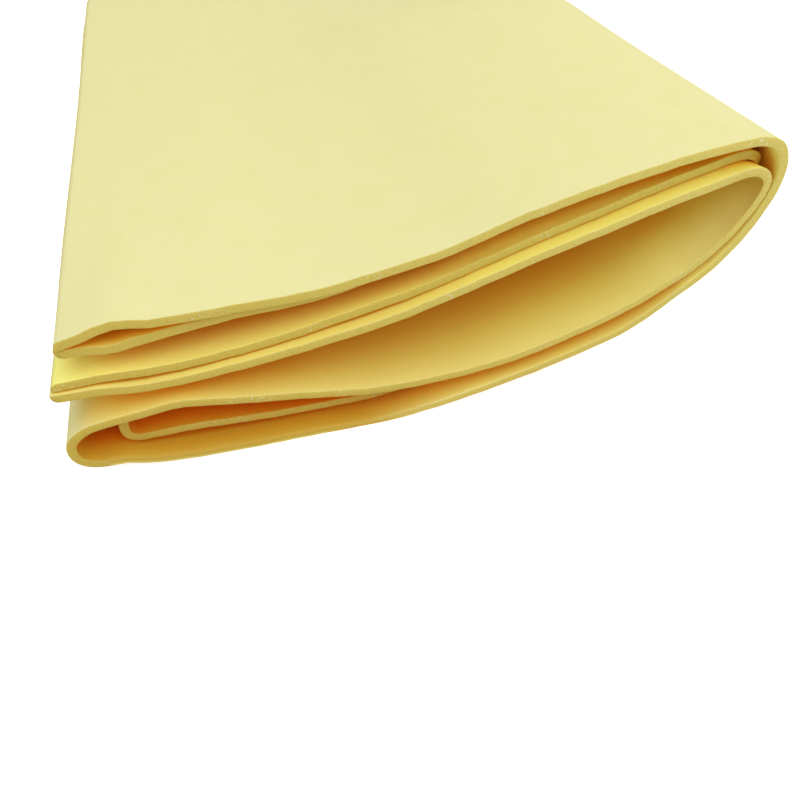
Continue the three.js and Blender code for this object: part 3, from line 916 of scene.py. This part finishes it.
def white_table():
    """A large white square. Seen directly it glows a little more than it reflects."""
    corner_points = np.array([[-1, -1, 0], [1, -1, 0], [1, 1, 0], [-1, 1, 0]]) * TABLE_HALF
    table = make_mesh("table", corner_points, np.array([[0, 1, 2, 3]]))
    material = bpy.data.materials.new("white_table")
    material.use_nodes = True
    tree = material.node_tree
    shader = tree.nodes["Principled BSDF"]
    shader.inputs["Base Color"].default_value = TABLE_COLOUR
    shader.inputs["Roughness"].default_value = 1.0
    shader.inputs["Specular IOR Level"].default_value = 0.0
    strength = product(tree, seen_directly(tree), TABLE_GLOW)
    glow = put(tree, "ShaderNodeEmission", {}, {"Strength": strength})
    both = put(tree, "ShaderNodeAddShader", {}, {0: shader.outputs[0], 1: glow.outputs[0]})
    tree.links.new(both.outputs[0], tree.nodes["Material Output"].inputs["Surface"])
    table.data.materials.append(material)
    return table


table = white_table()
print("the table is", 2 * TABLE_HALF, "m wide")

# %% [markdown]
# ## The camera
#
# The towel's front-to-back lines meet at a vanishing point above the picture. Together with upright
# edges that stay upright, it gives the camera's tilt and its focal length. The distance follows
# from the towel's real size, as the camera's height over the pack's lowest corner.

# %% The camera, from the picture's perspective
IMAGE_PX = 800
FOCAL_PX = 660
CENTRE_PX = np.array([400.0, 400.0])
VANISHING_PX = np.array([121.0, -278.0])   # where lines along +Y meet
CORNER_PX = np.array([81.0, 468.0])        # the pack's lowest corner, at the front left
CAMERA_HEIGHT = 0.11011                    # of the camera over that corner
CORNER_HEIGHT = 0.00483                    # of that corner, before the shift onto the table
ROLL = np.radians(1.5)
SENSOR_MM = 36
NEAREST_SEEN = 0.01


def ray_through(pixel):
    """The direction through a pixel, with x to the right, y down and z forward."""
    return np.array([*(pixel - CENTRE_PX), FOCAL_PX])


def camera_matrix():
    """The camera's place and turn. Backward lines run along the vanishing point's ray, up is
    square to the picture's level lines, and the third direction is square to both."""
    back = ray_through(VANISHING_PX) / np.linalg.norm(ray_through(VANISHING_PX))
    tilt = np.arctan2(CENTRE_PX[1] - VANISHING_PX[1], FOCAL_PX)
    up = np.array([0, -np.cos(tilt), -np.sin(tilt)])
    right = np.cross(back, up)
    right /= np.linalg.norm(right) * np.sign(right[0])
    to_corner = ray_through(CORNER_PX)
    to_corner = to_corner * (-CAMERA_HEIGHT / (to_corner @ up))
    axes = np.stack([right, back, up])
    level = np.array([[np.cos(ROLL), 0, -np.sin(ROLL)],
                      [0, 1, 0],
                      [np.sin(ROLL), 0, np.cos(ROLL)]])
    turned = level @ axes
    place = -turned @ to_corner + np.array([0, 0, CORNER_HEIGHT]) + shift
    matrix = np.eye(4)
    matrix[:3, :3] = np.column_stack([turned[:, 0], -turned[:, 1], -turned[:, 2]])
    matrix[:3, 3] = place
    return matrix


camera_data = bpy.data.cameras.new("camera")
camera_data.sensor_width = SENSOR_MM
camera_data.lens = SENSOR_MM * FOCAL_PX / IMAGE_PX
camera_data.clip_start = NEAREST_SEEN
camera = bpy.data.objects.new("camera", camera_data)
bpy.context.scene.collection.objects.link(camera)
camera.matrix_world = Matrix(camera_matrix().tolist())
bpy.context.scene.camera = camera
print("the camera stands at", (np.array(camera.location) * 1000).round(), "mm")

# %% [markdown]
# ## The lights
#
# Two large soft lamps light the towel from above and from the front, as a studio's softboxes would,
# and their size keeps the shadows soft. The world adds an even light from all round. The camera
# sees that world as plain white, like the table.

# %% Lights
WORLD_LIGHT = 0.45


def area_light(name, place, aim, size, power):
    """A square soft light at a place, turned to look at a point."""
    data = bpy.data.lights.new(name, "AREA")
    data.size = size
    data.energy = power
    lamp = bpy.data.objects.new(name, data)
    bpy.context.scene.collection.objects.link(lamp)
    away = np.array(place) - np.array(aim)
    away = away / np.linalg.norm(away)
    side = np.cross([0.0, 1.0, 0.001], away)
    side = side / np.linalg.norm(side)
    matrix = np.eye(4)
    matrix[:3, :3] = np.column_stack([side, np.cross(away, side), away])
    matrix[:3, 3] = place
    lamp.matrix_world = Matrix(matrix.tolist())


area_light("overhead_softbox", (0.1, 0.25, 1.2), (0, 0, 0), size=1.2, power=3.2)
area_light("front_softbox", (0.1, -0.6, 1.0), (0, 0, 0), size=1.0, power=8)
world = bpy.data.worlds.new("studio")
world.use_nodes = True
background = world.node_tree.nodes["Background"]
background.inputs["Color"].default_value = (1, 1, 1, 1)
lighting = calculated(world.node_tree, "MAXIMUM", seen_directly(world.node_tree), WORLD_LIGHT)
world.node_tree.links.new(lighting, background.inputs["Strength"])
bpy.context.scene.world = world
bpy.context.scene.view_settings.view_transform = "Standard"
print("two lamps, and a world of strength", WORLD_LIGHT)
